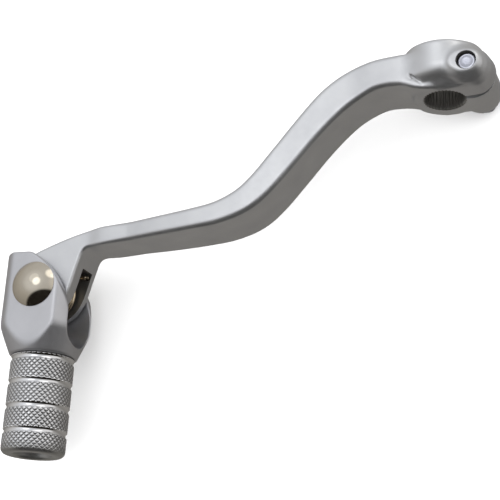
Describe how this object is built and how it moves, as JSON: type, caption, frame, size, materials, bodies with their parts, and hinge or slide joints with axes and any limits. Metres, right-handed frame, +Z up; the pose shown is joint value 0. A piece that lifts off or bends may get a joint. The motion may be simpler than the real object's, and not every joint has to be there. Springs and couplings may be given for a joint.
{
  "type": "motorcycle gear shift lever",
  "caption": "S-curved forged motorcycle gear shift lever with a splined pinch clamp and a spring-loaded folding knurled toe tip on a domed pivot pin.",
  "frame": {"origin": "centre of the splined bore that clamps on the gearbox shift shaft", "axes": "+X points rearward, so the arm runs towards -X; +Y points inboard along the bore axis, the way the shaft comes in, and the toe peg points to -Y; +Z points up along the pinch bolt and the fold pivot"},
  "size_m": [0.1611, 0.1187, 0.0341],
  "materials": {
    "forged_aluminium": "fine satin, bead blasted and clear anodised",
    "blasted_aluminium": "fine satin, bead blasted and clear anodised",
    "machined_aluminium": "bright turned, diamond knurled between polished grooves",
    "polished_nickel": "mirror polished, warm nickel",
    "plain_steel": "turned steel",
    "spring_steel": "oiled drawn wire",
    "zinc_plated_steel": "bright zinc plate"
  },
  "bodies": {
    "lever": {"lever_arm": "forged_aluminium", "pinch_bolt": "zinc_plated_steel", "torsion_spring": "spring_steel"},
    "tip": {"toe_yoke": "blasted_aluminium", "toe_peg": "machined_aluminium", "pivot_pin": "polished_nickel", "pivot_sleeve": "plain_steel", "pivot_washer": "plain_steel"}
  },
  "joints": [
    {"name": "tip_fold", "type": "hinge", "parent": "lever", "child": "tip", "pos_m": [-0.1324, -0.0576, 0], "axis": [0, 0, 1], "range_deg": [0, 70], "stiffness_Nm_per_rad": 0.25, "springref_deg": -114.59, "deforming": ["torsion_spring"]}
  ]
}
